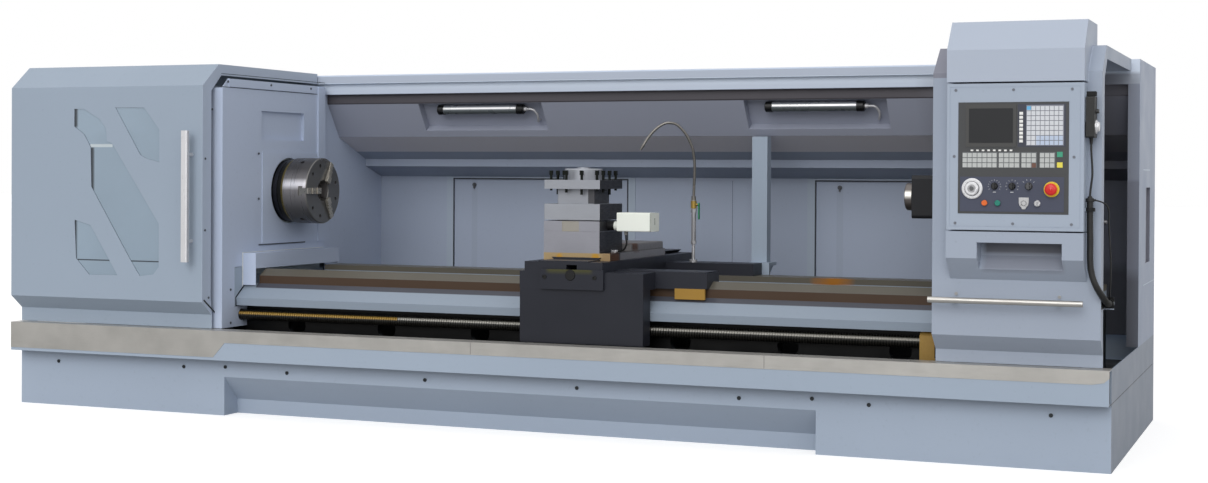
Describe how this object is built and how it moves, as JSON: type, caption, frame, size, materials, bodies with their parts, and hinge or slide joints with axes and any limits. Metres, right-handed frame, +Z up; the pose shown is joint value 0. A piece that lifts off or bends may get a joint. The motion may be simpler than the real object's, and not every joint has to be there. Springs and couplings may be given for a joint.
{
  "type": "cnc turning lathe",
  "caption": "Flat-bed turning lathe with a sliding arched guard door, a travelling control station, a chuck, a square tool post, a tailstock and a lit rear guard.",
  "frame": {"origin": "middle of the base's footprint, on the floor", "axes": "+X from the headstock to the tailstock, +Y to the back of the machine, +Z up; the operator stands at -Y"},
  "size_m": [5.232, 1.8913, 1.75],
  "materials": {
    "machine_paint": "satin light blue-grey paint",
    "base_paint": "satin light blue-grey paint",
    "stainless": "brushed stainless sheet",
    "bed_casting": "ground and oiled cast iron",
    "dark_casting": "dark machined casting",
    "ground_steel": "ground steel",
    "dark_steel": "oiled dark steel",
    "greased_bracket": "casting under a coat of yellow grease",
    "black_plastic": "matte black",
    "clear_window": "clear sheet",
    "lamp_tube": "frosted tube",
    "red_plastic": "gloss red",
    "green_plastic": "gloss green",
    "orange_plastic": "gloss orange",
    "cream_paint": "cream paint",
    "chrome_pipe": "chromed pipe",
    "drive_rubber": "black rubber",
    "grey_hose": "corrugated hose",
    "motor_black": "black motor paint"
  },
  "bodies": {
    "machine": {"base_frame": "base_paint", "chip_tray": "base_paint", "stainless_sill": "stainless", "bed": "bed_casting", "headstock": "machine_paint", "headstock_cover": "machine_paint", "rear_guard": "machine_paint", "work_lamps": "lamp_tube", "electrical_cabinet": "machine_paint", "z_bearing_bracket": "greased_bracket", "z_servo_motor": "motor_black", "spindle_motor": "motor_black", "drive_belt": "drive_rubber"},
    "door": {"sliding_door": "machine_paint", "door_window": "clear_window", "door_handle": "stainless"},
    "station": {"control_station": "machine_paint", "station_handle": "stainless", "panel_box": "machine_paint", "control_panel": "black_plastic", "pendant": "black_plastic", "pendant_cord": "grey_hose", "cable_conduit": "grey_hose"},
    "spindle": {"spindle": "dark_steel", "chuck_body": "dark_steel"},
    "carriage": {"saddle": "dark_casting", "apron": "dark_casting", "cable_post": "machine_paint", "x_servo_motor": "motor_black", "coolant_pipe": "chrome_pipe"},
    "cross_slide": {"cross_slide": "dark_casting", "tool_post_base": "dark_casting", "tool_post_motor": "cream_paint", "motor_lead": "drive_rubber"},
    "tool_post": {"tool_post_head": "dark_casting", "tool_post_bolts": "dark_steel"},
    "tailstock": {"tailstock_body": "dark_casting"},
    "mpg_dial": {"mpg_dial": "ground_steel"},
    "feed_knob": {"feed_knob": "black_plastic"},
    "speed_knob": {"speed_knob": "black_plastic"},
    "mode_knob": {"mode_knob": "black_plastic"},
    "key_switch": {"key_switch": "ground_steel"},
    "stop_button": {"stop_button": "red_plastic"},
    "green_button": {"green_button": "green_plastic"},
    "orange_button": {"orange_button": "orange_plastic"},
    "pendant_dial": {"pendant_dial": "ground_steel"},
    "pendant_knob": {"pendant_knob": "black_plastic"},
    "motor_pulley": {"motor_pulley": "dark_steel"},
    "chuck_jaw_1": {"chuck_jaw_1": "ground_steel"},
    "chuck_jaw_2": {"chuck_jaw_2": "ground_steel"},
    "chuck_jaw_3": {"chuck_jaw_3": "ground_steel"},
    "z_screw": {"z_screw": "dark_steel"},
    "x_screw": {"x_screw": "ground_steel"},
    "valve_lever": {"valve_lever": "green_plastic"},
    "quill": {"quill": "ground_steel"},
    "tail_handwheel": {"tail_handwheel": "ground_steel"},
    "quill_lock_lever": {"quill_lock_lever": "dark_steel"},
    "rear_door_left": {"rear_door_left": "machine_paint"},
    "rear_door_right": {"rear_door_right": "machine_paint"},
    "cabinet_door": {"cabinet_door": "machine_paint"}
  },
  "joints": [
    {"name": "door_slide", "type": "slide", "parent": "machine", "child": "door", "axis": [1, 0, 0], "range_m": [0, 3.4]},
    {"name": "station_slide", "type": "slide", "parent": "machine", "child": "station", "axis": [1, 0, 0], "range_m": [-1.2, 0]},
    {"name": "mpg_turn", "type": "hinge", "parent": "station", "child": "mpg_dial", "pos_m": [2.107, -1.015, 1.098], "axis": [0, -1, 0], "continuous": true},
    {"name": "feed_knob_turn", "type": "hinge", "parent": "station", "child": "feed_knob", "pos_m": [2.192, -1.015, 1.108], "axis": [0, 1, 0], "range_deg": [-135, 135]},
    {"name": "speed_knob_turn", "type": "hinge", "parent": "station", "child": "speed_knob", "pos_m": [2.259, -1.015, 1.108], "axis": [0, 1, 0], "range_deg": [-135, 135]},
    {"name": "mode_knob_turn", "type": "hinge", "parent": "station", "child": "mode_knob", "pos_m": [2.322, -1.015, 1.108], "axis": [0, 1, 0], "range_deg": [-60, 60]},
    {"name": "key_switch_turn", "type": "hinge", "parent": "station", "child": "key_switch", "pos_m": [2.355, -1.015, 1.043], "axis": [0, 1, 0], "range_deg": [0, 90]},
    {"name": "stop_press", "type": "slide", "parent": "station", "child": "stop_button", "axis": [0, 1, 0], "range_m": [0, 0.005], "stiffness_N_per_m": 900},
    {"name": "green_press", "type": "slide", "parent": "station", "child": "green_button", "axis": [0, 1, 0], "range_m": [0, 0.0028], "stiffness_N_per_m": 600},
    {"name": "orange_press", "type": "slide", "parent": "station", "child": "orange_button", "axis": [0, 1, 0], "range_m": [0, 0.0028], "stiffness_N_per_m": 600},
    {"name": "pendant_dial_turn", "type": "hinge", "parent": "station", "child": "pendant_dial", "pos_m": [2.563, -0.967, 1.336], "axis": [1, 0, 0], "continuous": true},
    {"name": "pendant_knob_turn", "type": "hinge", "parent": "station", "child": "pendant_knob", "pos_m": [2.563, -0.967, 1.394], "axis": [1, 0, 0], "range_deg": [-60, 60]},
    {"name": "spindle_turn", "type": "hinge", "parent": "machine", "child": "spindle", "pos_m": [-1.5, -0.24, 1.055], "axis": [1, 0, 0], "continuous": true},
    {"name": "motor_turn", "type": "hinge", "parent": "machine", "child": "motor_pulley", "pos_m": [-2.45, 0.24, 0.53], "axis": [1, 0, 0], "continuous": true},
    {"name": "jaw_1_slide", "type": "slide", "parent": "spindle", "child": "chuck_jaw_1", "axis": [0, -1, 0], "range_m": [-0.035, 0.02]},
    {"name": "jaw_2_slide", "type": "slide", "parent": "spindle", "child": "chuck_jaw_2", "axis": [0, 0.5, 0.866], "range_m": [-0.035, 0.02]},
    {"name": "jaw_3_slide", "type": "slide", "parent": "spindle", "child": "chuck_jaw_3", "axis": [0, 0.5, -0.866], "range_m": [-0.035, 0.02]},
    {"name": "carriage_slide", "type": "slide", "parent": "machine", "child": "carriage", "axis": [1, 0, 0], "range_m": [-1.36, 0.78]},
    {"name": "z_screw_turn", "type": "hinge", "parent": "machine", "child": "z_screw", "pos_m": [0, -0.65, 0.462], "axis": [1, 0, 0], "range_deg": [-40801, 23401]},
    {"name": "cross_slide_travel", "type": "slide", "parent": "carriage", "child": "cross_slide", "axis": [0, 1, 0], "range_m": [0, 0.4]},
    {"name": "x_screw_turn", "type": "hinge", "parent": "carriage", "child": "x_screw", "pos_m": [0.325, 0, 0.705], "axis": [0, 1, 0], "range_deg": [-1, 24001]},
    {"name": "tool_post_turn", "type": "hinge", "parent": "cross_slide", "child": "tool_post", "pos_m": [0.26, -0.505, 1], "axis": [0, 0, 1], "continuous": true},
    {"name": "valve_turn", "type": "hinge", "parent": "carriage", "child": "valve_lever", "pos_m": [0.61, 0.06, 1.003], "axis": [1, 0, 0], "range_deg": [0, 90]},
    {"name": "tailstock_slide", "type": "slide", "parent": "machine", "child": "tailstock", "axis": [1, 0, 0], "range_m": [-0.78, 0]},
    {"name": "handwheel_turn", "type": "hinge", "parent": "tailstock", "child": "tail_handwheel", "pos_m": [2.408, -0.24, 1.055], "axis": [1, 0, 0], "range_deg": [-12000, 0]},
    {"name": "quill_slide", "type": "slide", "parent": "tailstock", "child": "quill", "axis": [1, 0, 0], "range_m": [-0.2, 0]},
    {"name": "quill_lock_turn", "type": "hinge", "parent": "tailstock", "child": "quill_lock_lever", "pos_m": [1.828, -0.24, 1.17], "axis": [0, 0, 1], "range_deg": [0, 90]},
    {"name": "rear_door_left_swing", "type": "hinge", "parent": "machine", "child": "rear_door_left", "pos_m": [-0.015, 0.766, 0.8], "axis": [0, 0, -1], "range_deg": [0, 105]},
    {"name": "rear_door_right_swing", "type": "hinge", "parent": "machine", "child": "rear_door_right", "pos_m": [2.008, 0.766, 0.8], "axis": [0, 0, -1], "range_deg": [0, 105]},
    {"name": "cabinet_door_swing", "type": "hinge", "parent": "machine", "child": "cabinet_door", "pos_m": [-2.525, 0.766, 0.8], "axis": [0, 0, 1], "range_deg": [0, 100]}
  ],
  "couplings": [
    {"joint": "motor_turn", "follows": "spindle_turn", "ratio": 2.2667},
    {"joint": "jaw_2_slide", "follows": "jaw_1_slide", "ratio": 1},
    {"joint": "jaw_3_slide", "follows": "jaw_1_slide", "ratio": 1},
    {"joint": "z_screw_turn", "follows": "carriage_slide", "rad_per_m": 523.6},
    {"joint": "x_screw_turn", "follows": "cross_slide_travel", "rad_per_m": 1047.2},
    {"joint": "quill_slide", "follows": "handwheel_turn", "m_per_rad": 0.00095493}
  ]
}
